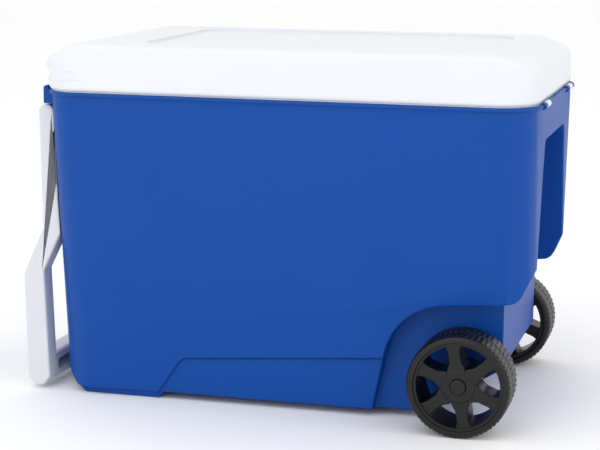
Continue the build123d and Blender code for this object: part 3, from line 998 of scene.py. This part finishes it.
# ---- wheels -------------------------------------------------------------------------------------
@dataclass
class Wheel:
    """A moulded wheel with six spokes, a dished rim and a ribbed tread, and its hub cap."""

    inner: float = 140.0
    outer: float = 194.0
    tread_r: float = 59.2
    rib_height: float = 0.8
    ribs: int = 60
    edge: float = 3.4  # chamfer of the rim's outer edges
    opening: tuple[float, float] = (48.5, 46.5)
    dish_r: float = 52.0
    dish_depth: float = 2.5
    hub_r: float = 19.5
    hub_ends: tuple[float, float] = (127.4, 190.0)
    spokes: int = 6
    spoke_half: float = 7.0
    spoke_angle: float = 38.5
    spoke_ends: tuple[float, float] = (155.0, 189.0)
    bush_r: float = 8.0
    seat: float = 180.0
    cap_r: float = 9.2
    cap_ends: tuple[float, float] = (186.0, 193.5)

    def rim(self) -> Piece:
        """The rim: its profile spun round the axle, with ribs raised on the tread."""
        middle = (self.inner + self.outer) / 2
        tread, edge, dish = self.tread_r, self.edge, self.dish_depth
        corner = 1.2  # makes each chamfer two faces, nearly round
        lip = self.dish_r - 0.8
        profile = [
            (self.outer, self.dish_r), (self.outer, tread - edge), (self.outer - corner, tread - corner),
            (self.outer - edge, tread), (middle, tread), (self.inner + edge, tread),
            (self.inner + corner, tread - corner), (self.inner, tread - edge), (self.inner, self.dish_r),
            (self.inner + dish, lip), (self.inner + dish, self.opening[1]),
            (self.outer - dish, self.opening[0]), (self.outer - dish, lip),
        ]
        rim = Piece("rim", [spot(AXLE_X, -y, AXLE_Z + r) for y, r in profile])
        steps = 2 * self.ribs
        with rim.editing():
            bpy.ops.mesh.delete(type="ONLY_FACE")
            bpy.ops.mesh.select_all(action="SELECT")
            bpy.ops.mesh.spin(
                steps=steps, angle=2 * pi, center=spot(AXLE_X, 0, AXLE_Z), axis=(0, 1, 0), use_auto_merge=True
            )
        rim.weld().face_outwards()
        for face in rim.obj.data.polygons:
            across = face.center - spot(AXLE_X, 0, AXLE_Z)
            out = Vector((across.x, 0, across.z)).length / MM
            turn = int(atan2(across.z, across.x) % (2 * pi) / (2 * pi) * steps)
            row = int(-face.center.y / MM > middle)
            face.select = out > self.tread_r - 0.6 and abs(face.normal.y) < 0.1 and (turn + row) % 2 == 0
        bpy.context.tool_settings.mesh_select_mode = (False, False, True)
        bpy.ops.object.select_all(action="DESELECT")
        rim.obj.select_set(True)
        bpy.context.view_layer.objects.active = rim.obj
        for edge in rim.obj.data.edges:
            edge.select = False
        for vertex in rim.obj.data.vertices:
            vertex.select = False
        bpy.ops.object.mode_set(mode="EDIT")
        bpy.ops.mesh.inset(thickness=0.45 * MM, depth=self.rib_height * MM, use_individual=True)
        bpy.ops.object.mode_set(mode="OBJECT")
        return rim

    def spoke(self) -> Piece:
        """One spoke, flared where it runs into the hub and the rim."""
        low, high, half = self.hub_r - 3, self.opening[0] + 1.5, self.spoke_half
        shape = Outline(
            (
                (low, -half - 3.5, 0), (low + 4, -half - 3.5, 0), (low + 11, -half, 9), (high - 9, -half, 9),
                (high, -half - 3, 0), (high, half + 3, 0), (high - 9, half, 9), (low + 11, half, 9),
                (low + 4, half + 3.5, 0), (low, half + 3.5, 0),
            )
        )
        turned = Outline(tuple((AXLE_X + u, AXLE_Z + v, r) for u, v, r in shape.corners))
        piece = Piece.prism("spoke", turned, Facing.ACROSS, -self.spoke_ends[0], -self.spoke_ends[1])
        return piece.soften(1.6, 3, where=lambda place: place.x < AXLE_X + high - 1)

    def build(self, shop: PaintShop) -> None:
        """Model one wheel and its cap, and copy both to the other side."""
        wheel = self.rim()
        middle = spot(AXLE_X, 0, AXLE_Z)
        first = self.spoke()
        for k in range(self.spokes):
            arm = first.copied("spoke")
            with arm.editing():
                bpy.ops.mesh.select_all(action="SELECT")
                turn = radians(self.spoke_angle + 360 / self.spokes * k)
                bpy.ops.transform.rotate(value=turn, orient_axis="Y", center_override=middle)
            wheel.work(arm, Joint.GROW_ON)
        bpy.data.objects.remove(first.obj)
        hub = rod("hub", AXLE_X, AXLE_Z, self.hub_r, (-self.hub_ends[0], -self.hub_ends[1]), 64)
        hub.soften(1.6, 3)
        wheel.work(hub, Joint.GROW_ON)
        past = -self.hub_ends[1] - 5
        wheel.work(rod("bore", AXLE_X, AXLE_Z, self.bush_r, (-self.hub_ends[0] + 5, past), 64))
        wheel.work(rod("seat", AXLE_X, AXLE_Z, self.cap_r + 0.15, (-self.seat, past), 64))
        wheel.weld(0.05)
        wheel.obj.name = wheel.obj.data.name = "wheel_front_moulding"
        ends = (-self.cap_ends[0], -self.cap_ends[1])
        cap = rod("cap_front_moulding", AXLE_X, AXLE_Z, self.cap_r, ends, 64)
        cap.soften(2.4, 5, where=lambda place: -place.y > self.cap_ends[1] - 1)
        twins = (
            (wheel, "wheel_front"), (cap, "hub_cap_front"),
            (wheel.mirrored_across("wheel_back_moulding"), "wheel_back"),
            (cap.mirrored_across("cap_back_moulding"), "hub_cap_back"),
        )
        for piece, node in twins:
            body = "front_wheel" if node.endswith("front") else "back_wheel"
            piece.hand_over(body, (node,), Slot.wheel_black, shop)


# ---- hardware that stays as it is in the CAD model ----------------------------------------------
def dress_hardware(shop: PaintShop) -> None:
    """Give each carried-over node its finish."""
    slots = {row["node"]: row["material_slot"] for row in frame["record"]["subparts"]}
    for name, node in frame["nodes"].items():
        if not node.hide_render:
            shop.dress(node, Slot[slots[name]])
            log.info("%s: dressed", name)


# ---- studio -------------------------------------------------------------------------------------
@dataclass(frozen=True)
class Softbox:
    """A square studio light: where it hangs, how wide it is, how strong, and its height of aim."""

    name: str
    place: tuple[float, float, float]
    size: float
    watts: float

    def hang(self) -> None:
        """Add the light, aimed at the cooler's middle."""
        bpy.ops.object.select_all(action="DESELECT")
        bpy.ops.object.light_add(type="AREA", location=self.place)
        lamp = bpy.context.object
        lamp.name = self.name
        lamp.data.energy = self.watts
        lamp.data.size = self.size
        aim = Vector((0.0, 0.0, 0.2)) - Vector(self.place)
        lamp.rotation_mode = "QUATERNION"
        lamp.rotation_quaternion = aim.to_track_quat("-Z", "Y")


@dataclass
class Studio:
    """A pale floor, a bright surround, softboxes and the camera."""

    lights: tuple[Softbox, ...] = (
        Softbox("front_box", (-0.9, -2.6, 1.5), 2.0, 13.0),
        Softbox("side_box", (2.4, -0.6, 1.3), 1.4, 9.0),
        Softbox("floor_box", (-0.2, -1.3, 2.2), 1.2, 5.0),
    )
    surround: float = 1.04
    camera_place: tuple[float, float, float] = (553.3, -2053.9, 593.2)
    yaw: float = 15.74
    pitch: float = 10.44
    roll: float = 0.34
    lens: float = 103.5
    sensor: float = 36.0

    def build(self) -> None:
        """Set the studio up round the cooler."""
        self.lay_floor()
        self.light_surround()
        for light in self.lights:
            light.hang()
        self.place_camera()
        bpy.context.scene.view_settings.view_transform = "Standard"

    def lay_floor(self) -> None:
        """Lay a pale matt floor."""
        bpy.ops.object.select_all(action="DESELECT")
        bpy.ops.mesh.primitive_plane_add(size=30.0, location=(0, 0, 0))
        floor = bpy.context.object
        floor.name = "studio_floor"
        made = bpy.data.materials.new("matt_white_paper")
        made.use_nodes = True
        tree = made.node_tree
        shader = tree.nodes["Principled BSDF"]
        shader.inputs["Roughness"].default_value = 0.9
        shader.inputs["Specular IOR Level"].default_value = 0.1
        place = add_node(tree, "ShaderNodeTexCoord").outputs["Object"]
        fibre = add_node(tree, "ShaderNodeTexNoise", {"Scale": 400.0}, {"Vector": place})
        tint = add_node(tree, "ShaderNodeMix", {"data_type": "RGBA"}, {0: fibre.outputs["Fac"]})
        tint.inputs[6].default_value = linear("f6f6f7")
        tint.inputs[7].default_value = linear("fafafa")
        tree.links.new(tint.outputs[2], shader.inputs["Base Color"])
        floor.data.materials.append(made)

    def light_surround(self) -> None:
        """Give the world an even white glow, as a white tent gives."""
        world = bpy.data.worlds.new("white_tent")
        world.use_nodes = True
        glow = world.node_tree.nodes["Background"]
        glow.inputs["Color"].default_value = (1.0, 1.0, 1.0, 1.0)
        glow.inputs["Strength"].default_value = self.surround
        bpy.context.scene.world = world

    def place_camera(self) -> None:
        """Put the camera a little above and to the wheel end, looking along the long wall."""
        yaw, pitch, roll = (radians(angle) for angle in (self.yaw, self.pitch, self.roll))
        look = Vector((-sin(yaw) * cos(pitch), cos(yaw) * cos(pitch), -sin(pitch)))
        right = Vector((cos(yaw), sin(yaw), 0))
        up = right.cross(look)
        right, up = right * cos(roll) + up * sin(roll), up * cos(roll) - right * sin(roll)
        turn = Matrix((right, up, -look)).transposed()
        bpy.ops.object.select_all(action="DESELECT")
        bpy.ops.object.camera_add(location=spot(*self.camera_place), rotation=turn.to_euler())
        camera = bpy.context.object
        camera.data.lens = self.lens
        camera.data.sensor_width = self.sensor
        camera.data.clip_start = 0.05
        bpy.context.scene.camera = camera


def main() -> None:
    """Build the cooler, dress it and set the studio up."""
    logging.basicConfig(level=logging.INFO, format="%(message)s")
    shop = PaintShop()
    tub, lid = Tub(), Lid()
    tub.build_shell(shop)
    tub.build_liner(shop)
    tub.build_foam(shop)
    lid.build_cover(tub, shop)
    lid.build_liner(shop)
    TowHandle().build(tub, shop)
    Wheel().build(shop)
    dress_hardware(shop)
    Studio().build()


if __name__ == "__main__":
    main()
